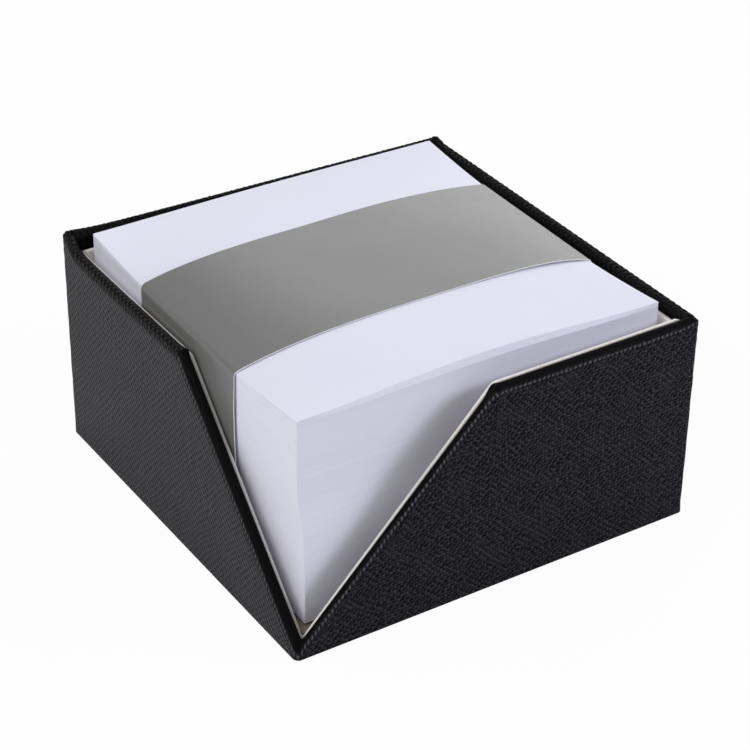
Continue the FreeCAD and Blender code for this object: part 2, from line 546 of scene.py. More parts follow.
@dataclass(frozen=True)
class MemoPaper:
    """White uncoated paper, faintly blue, with the lines of its sheets on a ream's sides."""

    colour: Colour = tone(231, 231, 242)
    shade: Colour = tone(223, 223, 238)
    sheet_lines: bool = False
    roughness: float = 0.72
    specular: float = 0.22

    def build(self) -> Material:
        """Cloudy tone and fine tooth, and on a ream's sides level lines of random strength.

        Returns:
            The material.
        """
        t = NodeTree("memo_sides" if self.sheet_lines else "memo_sheet")
        place = t.place()
        tooth = t.noise(place, 9000.0, 3.0, 0.6)
        if self.sheet_lines:
            fine = t.noise(t.stretched(place, (14.0, 14.0, 7000.0)), 1.0, 2.0, 0.7)
            broad = t.noise(t.stretched(place, (22.0, 22.0, 900.0)), 1.0, 3.0, 0.6)
            normal = t.bump(fine * 0.5 + broad * 0.3 + tooth * 0.3, 0.014)
            mark = (fine * 0.5 + broad * 0.5).step(0.25, 0.75)
        else:
            normal = t.bump(tooth, 0.008)
            mark = t.noise(place, 60.0, 4.0)
        colour = t.blend(mark * 0.6, self.colour, self.shade)
        return t.close(t.surface(colour, tooth * 0.10 + self.roughness, normal, self.specular))


@dataclass(frozen=True)
class BandPaper:
    """Grey coated paper with a silky gloss, faintly mottled."""

    colour: Colour = tone(118, 118, 117)
    dark: Colour = tone(110, 110, 109)
    roughness: float = 0.28
    specular: float = 0.5

    def build(self) -> Material:
        """Mottle and drawn-out scuffs in tone and gloss over a very fine tooth.

        Returns:
            The material.
        """
        t = NodeTree("band_grey")
        place = t.place()
        mottle = t.noise(place, 380.0, 4.0, 0.6)
        scuff = t.noise(t.stretched(place, (60.0, 900.0, 60.0), 20.0), 1.0, 3.0, 0.6)
        tooth = t.noise(place, 7000.0, 2.0)
        colour = t.blend(mottle * 0.5 + scuff * 0.3, self.colour, self.dark)
        gloss = mottle * 0.08 + scuff * 0.08 + self.roughness
        normal = t.bump(mottle * 0.8 + tooth * 0.2, 0.012)
        return t.close(t.surface(colour, gloss, normal, self.specular))


@dataclass(frozen=True)
class Card:
    """Card or board of pressed fibre: tone, flecks and a felted surface.

    A card with a back shade darkens towards its back, by its mesh's share "back" of its thickness:
    painted shade where the cover's fold overhangs it.
    """

    name: str
    colour: Colour
    fleck: Colour
    fleck_share: float
    felt_depth: float = 0.03
    roughness: float = 0.75
    specular: float = 0.25
    back_shade: Optional[Colour] = None

    def build(self) -> Material:
        """Two scales of fibre noise, the coarser one drawn out, with sparse flecks.

        Returns:
            The material.
        """
        t = NodeTree(self.name)
        place = t.place()
        fibre = t.noise(t.stretched(place, (1100.0, 2600.0, 1700.0), 30.0), 1.0, 4.0, 0.65)
        cross = t.noise(t.stretched(place, (2600.0, 900.0, 2300.0), -25.0), 1.0, 3.0, 0.6)
        cloud = t.noise(place, 90.0, 3.0)
        flecks = (fibre * cross).step(0.34, 0.42) * self.fleck_share
        colour = t.blend(flecks + cloud * 0.12, self.colour, self.fleck)
        if self.back_shade:
            # painted shade towards the card's back
            colour = t.blend((t.share("back") + fibre * 0.2).step(0.45, 0.95), colour, self.back_shade)
        normal = t.bump(fibre + cross, self.felt_depth)
        return t.close(t.surface(colour, cloud * 0.1 + self.roughness, normal, self.specular))


@dataclass
class Finishes:
    """Every material of the object, built once."""

    leatherette: Material = field(default_factory=Leatherette().build)
    memo_sheet: Material = field(default_factory=MemoPaper().build)
    memo_sides: Material = field(default_factory=MemoPaper(sheet_lines=True).build)
    band_grey: Material = field(default_factory=BandPaper().build)
    band_core: Material = field(default_factory=Card(
        "band_core", tone(238, 238, 236), tone(222, 221, 216), 0.2, felt_depth=0.01).build)
    # the lining darkens towards its back: painted shade under the cover's fold
    liner: Material = field(default_factory=Card(
        "liner_cream", tone(240, 236, 231), tone(214, 206, 196), 0.3, back_shade=tone(112, 98, 90)).build)
    # darker than the lining card: painted shade in the floor of the notch
    floor: Material = field(default_factory=Card(
        "floor_card_shaded", tone(134, 128, 114), tone(108, 102, 88), 0.4).build)
    board: Material = field(default_factory=Card(
        "grey_board", tone(150, 146, 138), tone(96, 92, 84), 0.6, felt_depth=0.05).build)
    tape: Material = field(default_factory=Card(
        "kraft_tape", tone(178, 142, 100), tone(140, 106, 70), 0.5).build)
    base: Material = field(default_factory=Card(
        "base_black", tone(34, 34, 36), tone(52, 52, 54), 0.5).build)


# ---- leatherette cover


class Side(Enum):
    """A wall of the tray: the direction that it faces and the one that it runs in."""

    BACK = ((0, 1), (-1, 0))
    LEFT = ((-1, 0), (0, -1))
    FRONT = ((0, -1), (1, 0))
    RIGHT = ((1, 0), (0, 1))

    def world(self, along: Array, out: Array) -> Array:
        """Plan points at distances along the wall and out from the middle."""
        facing, running = (np.array(v, float) for v in self.value)
        return along[..., None] * running + out[..., None] * facing

    def near(self, plan: Array, low: float = 48.6, high: float = 50.6) -> Array:
        """Share of this wall in plan points, 0 up to a distance from the middle and 1 beyond it."""
        return soft_step(plan @ np.array(self.value[0], float), low, high)


@dataclass(frozen=True)
class Notch:
    """The cut-down near corner: the front and left walls' edges fall straight towards it."""

    front_foot: float
    left_foot: float
    slope: float
    half: float = 51.0
    meeting_width: float = 0.5
    peak_width: float = 0.9

    @property
    def stretch(self) -> float:
        """Length of a slanting edge for each mm along the wall."""
        return math.hypot(1, self.slope)

    def end(self, foot: float, level: float) -> float:
        """Place along a wall where the edge that starts at a foot reaches a level."""
        return (level - foot) / self.slope - self.half

    def height(self, plan: Array, depth: Array, level: Array) -> Array:
        """Height of the walls' edge lowered squarely by a depth.

        A level rim falls by the depth itself, a slanting edge by the depth times its stretch.
        The notch is the higher of its two slants, and the edge the lower of notch and rim.

        Args:
            plan: Plan points, shape (..., 2).
            depth: How far below the edge.
            level: Height of the rim beyond the notch.

        Returns:
            Heights.
        """
        feet = np.array([self.front_foot, self.left_foot])
        slant = feet + self.slope * (plan + self.half) - (depth * self.stretch)[..., None]
        notch = -soft_min(-slant[..., 0], -slant[..., 1], self.meeting_width)
        return soft_min(level - depth, notch, self.peak_width)


@dataclass
class Lay:
    """How the sheet lies: its columns round the tray, and the stations across each of them.

    A column has an outer and an inner plan point, a mitre's share and the radii of its folds. A
    station has an inset from the outer face, a depth squarely below the rim, a share of the
    height (1 at the rim, 0 at the foot), a level where it is a foot station, and a reach, the
    length of sheet beyond the outer fold's start.
    """

    outer: Array
    inner: Array
    mitre: Array
    outer_r: Array
    inner_r: Array
    inset: Array
    depth: Array
    share: Array
    level: Array
    reach: Array


@dataclass
class TrayCover:
    """The leatherette sheet over the tray, folded in over the rim, the notch and the foot.

    Its section is a closed loop of stations, carried round the tray on columns. Millimetres.
    """

    half: float = 51.0
    corner_r: tuple[float, ...] = (0.7, 1.4, 0.5, 0.8)
    inner_half: float = 48.5
    inner_r: float = 0.3
    rim_z: float = 51.5
    foot_z: float = 0.3
    floor_top: float = 2.4
    sheet_t: float = 0.46
    outer_fold_r: float = 1.35
    inner_fold_r: float = 1.1
    foot_fold_r: float = 0.35
    soft_roll: float = 0.40
    wide_roll: float = 0.55
    turn_in: float = 14.0
    least_turn: float = 0.02
    turn_under: float = 13.0
    notch: Notch = Notch(front_foot=1.8, left_foot=2.85, slope=1.016)
    cut_depth: float = 0.3
    column_step: float = 0.44
    fine_places: int = 4001
    fan_columns: int = 11
    wall_rows: int = 30
    climb_power: float = 1.7
    pit_pitch: float = 1.14
    row_pitch: float = 1.14
    row_fall: float = 43.4
    pit_drift: Ripple = Ripple(5, 12.0, 0.34)
    row_drift: Ripple = Ripple(6, 16.0, 0.30)
    bead_drift: Ripple = Ripple(9, 11.0, 0.16)
    swell: Ripple = Ripple(8, 34.0, 0.04)
    bead_height: float = 0.24
    bead_width: float = 0.6
    bead_half: float = 0.5
    knob_power: float = 0.7
    row_share: float = 0.25
    no_bead: float = 9.0
    crest_at: float = 0.48
    crest_cut: float = 0.24
    crest_left: float = 0.71
    crest_front: float = 0.7
    bead_pitch: float = 1.2
    rope_pitch: float = 2.1
    weave_height: float = 0.3
    weave_reach: float = 2.4
    proud_back: float = 1.12
    proud_tilt: float = 0.0165
    proud_right: float = 0.4
    proud_corner: float = 1.3
    proud_reach: float = 5.0
    proud_from: float = 45.0
    left_tilt: float = 0.4
    lip_reach: float = 0.35
    lip_rise: float = 0.15
    lip_width: float = 1.1
    lip_inset: Pair = (0.8, 2.2)
    lip_height: Pair = (-2.4, -1.0)
    mitre_width: float = 0.16
    mitre_depth: float = 0.14

    @property
    def wall_t(self) -> float:
        """Width of the rim, across the whole wall."""
        return self.half - self.inner_half

    def _run(self, side: Side) -> Array:
        """Places of one wall's columns, evenly spaced along its rim.

        Args:
            side: The wall.

        Returns:
            Distances along the wall from its middle.
        """
        end = self.inner_half - self.inner_r
        fine = np.linspace(-end, end, self.fine_places)
        pace = np.where(self._is_cut(side.world(fine, self.half + 0 * fine)), self.notch.stretch, 1.0)
        length = np.cumsum(pace) * (fine[1] - fine[0])
        count = round(length[-1] / self.column_step)
        return np.interp(np.linspace(length[0], length[-1], count), length, fine)

    def _columns(self) -> tuple[Array, Array, Array]:
        """Lays out the columns round the tray, wall by wall with a fan at each corner.

        A fan's rays leave the centre of the inner corner; they meet the outer face on its two
        flats or on the arc between them.

        Returns:
            Outer and inner plan points, and the share of a mitre, 1 on a fan's middle ray.
        """
        centre = self.inner_half - self.inner_r
        outer, inner, mitre = [], [], []
        turn = np.linspace(0, QUARTER, self.fan_columns + 2)[1:-1]
        ray = np.stack([np.sin(turn), np.cos(turn)], -1)
        flat = (self.half - centre) / ray.max(-1)
        for side, corner_r in zip(Side, self.corner_r):
            back = self.half - corner_r - centre
            mean = ray.sum(-1) * back
            arc = mean + np.sqrt(np.maximum(mean**2 - 2 * back**2 + corner_r**2, 0))
            reach = np.where(ray.min(-1) * flat > back, arc, flat)
            run = self._run(side)
            for points, face, length in ((outer, self.half, reach),
                                         (inner, self.inner_half, self.inner_r)):
                points += [side.world(run, 0 * run + face),
                           side.world(centre + ray[:, 0] * length, centre + ray[:, 1] * length)]
            mitre += [0 * run, np.exp(-((turn - QUARTER / 2) / self.mitre_width) ** 2)]
        return np.concatenate(outer), np.concatenate(inner), np.concatenate(mitre)

    def _folds(self, plan: Array) -> tuple[Array, Array]:
        """Radii of the outer and the inner fold over the rim at each column.

        The left wall's outer fold is a soft roll, softest along the notch, with a tight fold
        inside; along the front wall's notch it is the inner fold that is wide.

        Args:
            plan: Outer plan points.

        Returns:
            Both radii.
        """
        left, right = Side.LEFT.near(plan), Side.RIGHT.near(plan, 49.0)
        front = Side.FRONT.near(plan) * (1 - left)
        cut = soft_step(self.rim_z - self._rim(plan), 0.5, 3.0)
        soft, wide = self.soft_roll * cut, self.wide_roll * cut
        outer = self.outer_fold_r + left * (0.15 + soft) - front * self.soft_roll * cut - right * 0.4
        inner = self.inner_fold_r - left * (0.10 + soft) + front * (wide - 0.10)
        return outer, inner

    def _section(self, outer_r: Array, inner_r: Array) -> tuple[Array, ...]:
        """The sheet's section from its edge under the floor, round the wall and back inside.

        Args:
            outer_r: Radius of the outer fold at each column.
            inner_r: Radius of the inner fold at each column.

        Returns:
            Inset, depth, share, level and reach, each of shape (stations, columns).
        """
        width = self.wall_t
        t, bottom, r = self.sheet_t, self.foot_z, self.foot_fold_r
        foot = np.linspace(0, QUARTER, 5)[:, None]
        fold = np.linspace(0, QUARTER, 8)[:, None]
        climb = 1 - (1 - np.linspace(0, 1, self.wall_rows)[1:-1, None]) ** self.climb_power
        top = outer_r + (width - inner_r - outer_r) * np.linspace(0, 1, 5)[1:-1, None]
        drop = inner_r + (self.turn_in - inner_r) * np.linspace(0, 1, 7)[1:, None]
        past_outer = outer_r * QUARTER
        past_top = past_outer + width - inner_r - outer_r
        past_inner = past_top + inner_r * QUARTER
        under = np.linspace(self.turn_under, r, 4)[:-1, None]
        pair = np.zeros((2, 1))
        parts = [
            # inset, depth, share, level, reach
            (under, 0, 0, bottom, 0),
            (r * (1 - np.sin(foot)), 0, 0, bottom + r * (1 - np.cos(foot)), 0),
            (0 * climb, outer_r, climb, bottom + r, 0),
            (outer_r * (1 - np.cos(fold)), outer_r * (1 - np.sin(fold)), 1, 0, outer_r * fold),
            (top, 0, 1, 0, past_outer + top - outer_r),
            (width - inner_r * (1 - np.sin(fold)), inner_r * (1 - np.cos(fold)), 1, 0,
             past_top + inner_r * fold),
            (width + 0 * drop, drop, 1, 0, past_inner + drop - inner_r),
            (pair + width - t, np.array([[self.turn_in], [t]]), 1, 0, past_inner),
            (pair[:1] + t, t, 1, 0, past_inner),
            (pair + t, t, np.array([[0.6], [0.0]]), bottom + t, past_inner),
            (pair[:1] + self.turn_under, t, 0, bottom + t, past_inner),
        ]
        full = [[np.broadcast_to(value, (len(part[0]), len(outer_r))) for value in part]
                for part in parts]
        return tuple(np.concatenate(column) for column in zip(*full))

    def _proud(self, plan: Array) -> Array:
        """How far the rim stands above its level: along the back, and most at the left of it.

        Args:
            plan: Plan points.

        Returns:
            The rise.
        """
        x, y = plan[..., 0], plan[..., 1]
        back = self.proud_back + self.proud_tilt * (self.proud_from - x)
        back = Side.BACK.near(plan, self.proud_from, 50.0) * back
        right = Side.RIGHT.near(plan, 46.0, 50.0) * self.proud_right
        corner = np.exp((y - x - 2 * self.half) / self.proud_reach) * self.proud_corner
        return np.maximum(back, right) + corner

    def _rim(self, plan: Array, depth: Optional[Array] = None) -> Array:
        """Height of the rim, or of the rim lowered squarely by a depth."""
        depth = 0 * plan[..., 0] if depth is None else depth
        return self.notch.height(plan, depth, self.rim_z + self._proud(plan))

    def _is_cut(self, plan: Array) -> Array:
        """Whether the notch has lowered the rim at plan points."""
        return self._rim(plan) < self.rim_z - self.cut_depth

    def _level_rim(self, side: Side, outer: Array) -> Array:
        """Share of a wall's level rim, without the notch."""
        return side.near(outer) * (1 - self._is_cut(outer))

    def _lay(self) -> Lay:
        """Lays out the sheet. It is turned in less over the notch, and its left rim leans in.

        Returns:
            How it lies.
        """
        outer, inner, mitre = self._columns()
        outer_r, inner_r = self._folds(outer)
        lay = Lay(outer, inner, mitre, outer_r, inner_r, *self._section(outer_r, inner_r))
        room = (self._rim(inner) - self.floor_top) / self.notch.stretch
        squeeze = np.clip((room - inner_r) / (self.turn_in - inner_r), self.least_turn, 1)
        behind = lay.inset > self.wall_t / 2
        deep = np.minimum(lay.depth, inner_r) + np.maximum(lay.depth - inner_r, 0) * squeeze
        tilt = self._level_rim(Side.LEFT, outer) * self.left_tilt * (lay.share == 1)
        lay.depth = np.where(behind, deep, lay.depth) + tilt * np.clip(lay.inset / self.wall_t, 0, 1)
        return lay

    def _place(self, lay: Lay, inset: Array, depth: Array) -> tuple[Array, Array]:
        """Places all stations: straight across the wall, or drawn in under the floor.

        Args:
            lay: How the sheet lies.
            inset: Distance of each station from the outer face.
            depth: Its depth below the rim.

        Returns:
            Plan points, shape (stations, columns, 2), and heights.
        """
        way = (inset / self.wall_t)[..., None]
        under = lay.outer * (1 - inset / self.half)[..., None]
        plan = np.where((lay.share == 0)[..., None], under, lay.outer + (lay.inner - lay.outer) * way)
        return plan, lay.share * self._rim(plan, depth) + (1 - lay.share) * lay.level

    def _lip(self, lay: Lay) -> Array:
        """Share of the small lip that the sheet's folds make inside each end of the notch.

        It is 1 where the notch's edge meets the level rim, on the inner half of the fold, and
        dies away along the wall as a bell curve.

        Args:
            lay: How the sheet lies.

        Returns:
            The share at each station.
        """
        near = 0
        for axis, foot in enumerate((self.notch.front_foot, self.notch.left_foot)):
            off = lay.outer[:, axis] - self.notch.end(foot, self.rim_z)
            on_wall = lay.outer[:, 1 - axis] < 0.5 - self.half
            near = near + on_wall * np.exp(-((off / self.lip_width) ** 2))
        on_fold = soft_step(lay.inset, *self.lip_inset) * soft_step(-lay.depth, *self.lip_height)
        return near * on_fold * (lay.share == 1)

    def _grain(self, length: Array, height: Array) -> Array:
        """Turns places on the flat sheet into counts of pits and of rows.

        The rows fall by row_fall degrees along the wall, and wander a little.

        Args:
            length: Place round the tray.
            height: Place up the wall.

        Returns:
            Both counts, shape (..., 2).
        """
        fall = math.radians(self.row_fall)
        pits = (length * math.cos(fall) - height * math.sin(fall)) / self.pit_pitch
        rows = (length * math.sin(fall) + height * math.cos(fall)) / self.row_pitch
        return np.stack([pits + self.pit_drift.at(length, height),
                         rows + self.row_drift.at(length, height)], -1)

    def _beads(self, lay: Lay, length: Array, height: Array) -> Array:
        """Counts the beads along the edge and measures how far past their crest a point lies.

        The embossing swells into beads where the sheet bends; on the right wall they are longer,
        like a rope, and on the left wall they sit low on the roll.

        Args:
            lay: How the sheet lies.
            length: Distance of each column round the tray.
            height: Height of each station.

        Returns:
            Bead count and distance past the crest in mm, shape (stations, columns, 2).
        """
        outer, share = lay.outer, lay.share
        edge, cut = self._rim(outer), self._is_cut(outer)
        rope = Side.RIGHT.near(outer, 49.5, 50.8)
        pitch = self.bead_pitch + (self.rope_pitch - self.bead_pitch) * rope
        steps = np.hypot(np.diff(length), np.diff(edge)) / pitch[1:]
        count = np.concatenate([[0], np.cumsum(steps)]) + self.bead_drift.at(length, edge)
        below = (height - self._rim(outer, lay.outer_r)) / np.where(cut, self.notch.stretch, 1.0)
        level_left = self._level_rim(Side.LEFT, outer)
        level_front = self._level_rim(Side.FRONT, outer) * (1 - level_left)
        cut_left = Side.LEFT.near(outer) * cut
        on_fold = self.crest_at - self.crest_cut * cut_left - self.crest_left * level_left
        crest = lay.outer_r * on_fold - self.crest_front * level_front
        past = np.where(share < 1, np.minimum(below, 0), lay.reach) - crest
        past = np.where((share < 1) & (lay.reach > 0), self.no_bead, past)
        return np.stack([count + 0 * past, past], -1)

    def _emboss(self, lay: Lay, grain: Array, beads: Array) -> Array:
        """How deep the sheet lies below the tops of its beads, and of its weave on the far rims.

        Args:
            lay: How the sheet lies.
            grain: Counts of pits and rows.
            beads: Bead count and distance past the crest.

        Returns:
            The depth at each station.
        """
        far = np.maximum(Side.RIGHT.near(lay.outer, 49.0), Side.BACK.near(lay.outer, 49.0))
        net_top = far * (lay.share == 1) * (lay.inset < self.weave_reach)
        knob = cosine_wave(beads[..., 0]) ** self.knob_power
        crest = np.exp(-((beads[..., 1] / self.bead_width) ** 2))
        rows = cosine_wave(grain[..., 1])
        weave = rows * cosine_wave(grain[..., 0])
        sink = self.bead_height * (crest * (1 - knob) + self.row_share * (1 - crest) * (1 - rows))
        return np.where(beads[..., 1] > self.bead_half,
                        sink * crest + self.weave_height * net_top * (1 - weave), sink)

    def _add_shares(self, piece: Piece, lay: Lay) -> None:
        """Marks the calm left wall with its painted sheen, the far rims that keep their weave, and the
        beads' painted highlight.

        Args:
            piece: The cover.
            lay: How the sheet lies.
        """
        outer = lay.outer
        back, right = Side.BACK.near(outer), Side.RIGHT.near(outer)
        woven = (1 - Side.FRONT.near(outer, 49.5, 50.5)) * (1 - self._is_cut(outer))
        level_left = self._level_rim(Side.LEFT, outer)
        # net is weakest at the back, whose rim is left smooth and dark: painted shade; glint, the
        # beads' painted highlight, is least at the back and on the left's level rim
        shares = {"net": woven * (0.8 - 0.55 * back - 0.3 * right),
                  "glint": 1 - np.clip(0.85 * level_left + 0.9 * back + 0.2 * right, 0, 0.9),
                  "calm_and_lit": Side.LEFT.near(outer, 50.0, 50.9)}
        for name, share in shares.items():
            add_share(piece, name, share + 0 * lay.inset)

    def build(self, finish: Material) -> None:
        """Builds the cover: section times columns, with the embossing raised on the folds.

        Args:
            finish: The leatherette.
        """
        lay = self._lay()
        outer, inset, depth, share = lay.outer, lay.inset, lay.depth, lay.share
        on_rim, lip = share == 1, self._lip(lay)
        height = self._place(lay, inset, depth)[1]
        length = np.concatenate([[0], np.cumsum(np.hypot(*np.diff(outer, axis=0).T))])
        uphill = np.where(outer[:, 0] - outer[:, 1] > MM, 1.0, -1.0)
        lean = math.atan(self.notch.slope) * uphill * self._is_cut(outer)
        past = np.where(on_rim, lay.reach - (lay.outer_r - depth), 0)
        grain = self._grain(length - np.sin(lean) * past, height + np.cos(lean) * past)
        beads = self._beads(lay, length, height)

        sink = self._emboss(lay, grain, beads)
        swell = self.swell.at(length + 0 * height, height) + self.swell.height
        facing = np.where(on_rim, np.clip(1 - inset / lay.outer_r, 0, 1), 1.0)
        wall = (share < 1) & (share > 0) & (inset == 0)
        groove = np.where(on_rim & (inset > lay.outer_r), self.mitre_depth * lay.mitre, 0)
        inset = inset + sink * facing * (share > 0) + np.where(wall, swell * (1 - share), 0)
        depth = depth + sink * (1 - facing) * on_rim + groove
        plan, height = self._place(lay, inset + self.lip_reach * lip, depth - self.lip_rise * lip)

        points = np.concatenate([plan, height[..., None]], -1)
        stations, columns = height.shape
        i, j = grid_faces(stations, columns, closed=True)
        faces = (i % stations) * columns + j % columns
        piece = add_piece("leatherette_cover_sheet", points.reshape(-1, 3), faces.tolist())
        closing, seam = np.hypot(*(outer[0] - outer[-1])), height[:, :1]
        grain_end = (grain[:, :1] + self._grain(length[-1:] + closing, seam)
                     - self._grain(length[:1], seam))
        beads_end = beads[:, -1:] * (1, 0) + beads[:, :1] * (0, 1) + (closing / self.bead_pitch, 0)
        for name, counts, end in (("grain", grain, grain_end), ("edge", beads, beads_end)):
            padded = np.concatenate([counts, end], 1)
            padded = np.concatenate([padded, padded[:1]], 0)
            layer = piece.data.uv_layers.new(name=name)
            layer.data.foreach_set("uv", padded[i, j].astype(np.float32).ravel())
        self._add_shares(piece, lay)
        dress(piece, "leatherette_cover", "holder", "leatherette", finish)


# ---- tray


@dataclass
class WallCards:
    """Four upright cards whose tops follow the notch, mitred or butted at the corners. mm."""

    name: str
    node: str
    slot: str
    outer: float
    inner: float
    foot: float
    tops: dict[Side, float]
    notch: Notch
    inner_edge_r: float
    outer_edge_r: float
    least_top: float
    ends: Optional[dict[Side, float]] = None
    stations: int = 240
    foot_width: float = 0.4

    def build(self, finish: Material) -> None:
        """Builds the cards: a section with rounded upper edges carried along each wall.

        Args:
            finish: Their material.
        """
        fold = np.linspace(0, QUARTER, 4)
        inward, down = 1 - np.cos(fold), 1 - np.sin(fold)
        across = np.concatenate([[self.outer, self.inner], self.inner + self.inner_edge_r * inward,
                                 self.outer - self.outer_edge_r * inward[::-1]])
        depth = np.concatenate([[0, 0], self.inner_edge_r * down, self.outer_edge_r * down[::-1]])
        share = np.where(np.arange(len(across)) < 2, 0.0, 1.0)
        way = np.linspace(-1, 1, self.stations)[:, None]
        back = (across - self.inner) / (self.outer - self.inner) + 0 * way
        for side, top in self.tops.items():
            end = self.ends[side] if self.ends else across
            plan = side.world(way * end, across + 0 * way)
            edge = self.notch.height(plan, depth + 0 * way, np.array(top))
            edge = -soft_min(-edge, np.array(-self.least_top), self.foot_width)
            height = share * edge + (1 - share) * self.foot
            wall = side.name.lower()
            piece = add_bar(f"{self.name}_{wall}", np.concatenate([plan, height[..., None]], -1))
            add_share(piece, "back", back)
            dress(piece, f"{self.node}_{wall}", "holder", self.slot, finish)


@dataclass
class Tray:
    """Boards and lining, and the tape, floor and base sheet, whose solids stay."""

    corners: tuple[str, ...] = ("back_left", "back_right", "front_right")
    board_ends: tuple[float, ...] = (50.3, 49.0, 50.3, 49.0)
    board_top: float = 50.9
    board_notch: Notch = Notch(front_foot=1.0, left_foot=1.8, slope=1.01)
    lining_tops: tuple[float, ...] = (50.05, 49.15, 50.85, 49.6)
    lining_notch: Notch = Notch(front_foot=-0.85, left_foot=-0.58, slope=1.035)

    def build(self, finishes: Finishes) -> None:
        """Builds the upright cards and finishes the solids that stay.

        Args:
            finishes: The object's materials.
        """
        WallCards("upright_board", "wall_board", "grey_board", outer=50.5, inner=49.0, foot=0.8,
                  tops={side: self.board_top for side in Side}, notch=self.board_notch,
                  inner_edge_r=0.6, outer_edge_r=0.6, least_top=1.6,
                  ends=dict(zip(Side, self.board_ends))).build(finishes.board)
        WallCards("lining_card", "wall_liner", "liner_card", outer=48.45, inner=47.0, foot=2.32,
                  tops=dict(zip(Side, self.lining_tops)), notch=self.lining_notch,
                  inner_edge_r=0.32, outer_edge_r=0.9, least_top=3.0).build(finishes.liner)
        for corner in self.corners:
            refinish(f"corner_stay_{corner}", finishes.tape)
        refinish("floor_board", finishes.board)
        refinish("floor_liner", finishes.floor)
        refinish("base_sheet", finishes.base)


# ---- memo cube


@dataclass
class MemoCube:
    """The sheets: two reams, of which the lower has slipped, and the loose ones on top."""

    width: float = 90.0
    sheet_t: float = 0.1
    top_x: float = -0.45
    top_y: float = 0.85
    top_turn: float = 0.33
    top_spread: float = 0.3
    foot_x: float = -0.25
    foot_y: float = -0.15
    slip_z: float = 30.4
    slip_spread: float = 2.1
    low: float = 4.4
    seam: float = 30.9
    high: float = 53.7
    row_step: float = 0.3
    jog: float = 0.007
    drift: float = 0.014
    bulge: float = 1.05
    bulge_depth: float = 7.0
    loose_count: int = 7
    bow_low: float = 1.08
    bow_high: float = 2.0
    crest: float = 1.68
    sag: float = 2.0
    pressed_power: float = 3.0
    back_flat: float = 0.85
    grip_half: float = 0.3
    grip_power: float = 1.7
    squeeze: float = 0.955
    top_play: float = 0.008
    play: float = 0.006
    stray: float = 0.03
    fan: float = 0.5
    cells: int = 28

    def _grid(self) -> tuple[Array, Array]:
        """Places from -1 to 1 on a sheet, columns towards +X and rows towards +Y."""
        even = np.linspace(-1, 1, self.cells + 1)
        return np.meshgrid(even, even)

    def _lift(self, u: Array, v: Array, rise: float) -> Array:
        """Height of a sheet over its level: bowed at its free ends, pressed under the band.

        The free ends rise by the bow (1 - u^2)^2, less at the back. Under the band the middle
        stands up and the two sides sag, as crest - (crest + sag) |u|^n.

        Args:
            u: Place across, from -1 to 1.
            v: Place along, from -1 at the front edge to 1.
            rise: Rise of the bow at the free ends.

        Returns:
            The lift in mm.
        """
        bow = (1 - u**2) ** 2 * (1 - self.back_flat * soft_step(v, 0.45, 1.05))
        free = (np.maximum(np.abs(v) - self.grip_half, 0) / (1 - self.grip_half)) ** self.grip_power
        pressed = self.crest - (self.crest + self.sag) * np.abs(u) ** self.pressed_power
        return rise * bow * free + pressed * (1 - free)

    def _plan(self, u: Array, v: Array, slip: Array) -> tuple[Array, Array]:
        """Plan of a sheet that has slipped by a share; the upper sheets are turned a little.

        Args:
            u: Place across, from -1 to 1.
            v: Place along, from -1 to 1.
            slip: Share of the slip.

        Returns:
            X and Y.
        """
        up = 1 - slip
        x = self.foot_x * slip + self.top_x * up
        y = self.foot_y * slip + self.top_y * up
        x = x + u * (self.width / 2 + self.top_spread * up) + self.top_turn * up * v
        return x, y + v * self.width / 2 - self.top_turn * up * u

    def _level(self, u: Array, v: Array, z: Array, jog: Array) -> Array:
        """Points of one level of a ream: slipped, jogged and lifted where the top bulges.

        The share of the slip at a height is 1 / (1 + e^((z - slip_z) / slip_spread)).

        Args:
            u: Place across, from -1 to 1.
            v: Place along, from -1 to 1.
            z: Height.
            jog: Small offset in plan.

        Returns:
            The points.
        """
        x, y = self._plan(u, v, 1 / (1 + np.exp((z - self.slip_z) / self.slip_spread)))
        lift = np.exp((z - self.high) / self.bulge_depth) * self._lift(u, v, self.bulge)
        return np.stack([x + jog[..., 0], y + jog[..., 1], z + lift], -1)

    def _dress(self, piece: Piece, node: str, body: str, finish: Material) -> None:
        """Dresses a piece of paper and gives it its own copy of its mesh."""
        dress(piece, node, body, "memo_paper", finish)
        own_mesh(piece)

    def _ream(self, node: str, low: float, high: float, seed: int, finish: Material) -> None:
        """Builds one ream with a ring of points for every few sheets.

        Args:
            node: Name of its solid.
            low: Height of its underside.
            high: Height of its upper side.
            seed: Seed of the sheets' small offsets.
            finish: Its material.
        """
        u, v = self._grid()
        top, bottom = (self._level(u, v, np.full(u.shape, z), np.zeros(u.shape + (2,)))
                       for z in (high, low))
        levels = np.linspace(high, low, round((high - low) / self.row_step) + 1)[1:-1]
        rng = np.random.default_rng(seed)
        loose = rng.normal(0, self.jog, (len(levels), 1, 2))
        drift = np.cumsum(rng.normal(0, self.drift, (len(levels), 1, 2)), 0)
        drift = drift - np.linspace(drift[0], drift[-1], len(levels))
        spread = np.ones((len(levels), len(ring_of(u))))
        sides = self._level(ring_of(u) * spread, ring_of(v) * spread, levels[:, None] * spread,
                            (loose + 0.5 * drift) * spread[..., None])
        self._dress(add_slab(f"{node}_cut", top, bottom, sides), node, "memo_cube", finish)

    def _sheet(self, name: str, z: float, rises: Pair, shift: Pair, fans: Pair) -> Piece:
        """Builds one bowed sheet.

        Args:
            name: Name of the piece.
            z: Height of its underside at its ends.
            rises: Rise of the bow of its lower and its upper face.
            shift: How far it lies from the cube's middle, along X and Y.
            fans: How far the front edges of its two faces stand forward.

        Returns:
            The piece.
        """
        u, v = self._grid()
        x, y = self._plan(u, v, np.zeros(u.shape))
        x, y = x + shift[0], y + shift[1]
        ahead = soft_step(-v, 0.9, 1.0) * (1 - np.abs(u) ** 6)
        under, over = (np.stack([x, y - ahead * fan, level + self._lift(u, v, rise)], -1)
                       for fan, level, rise in zip(fans, (z, z + self.sheet_t - self.play), rises))
        return add_slab(name, over, under)

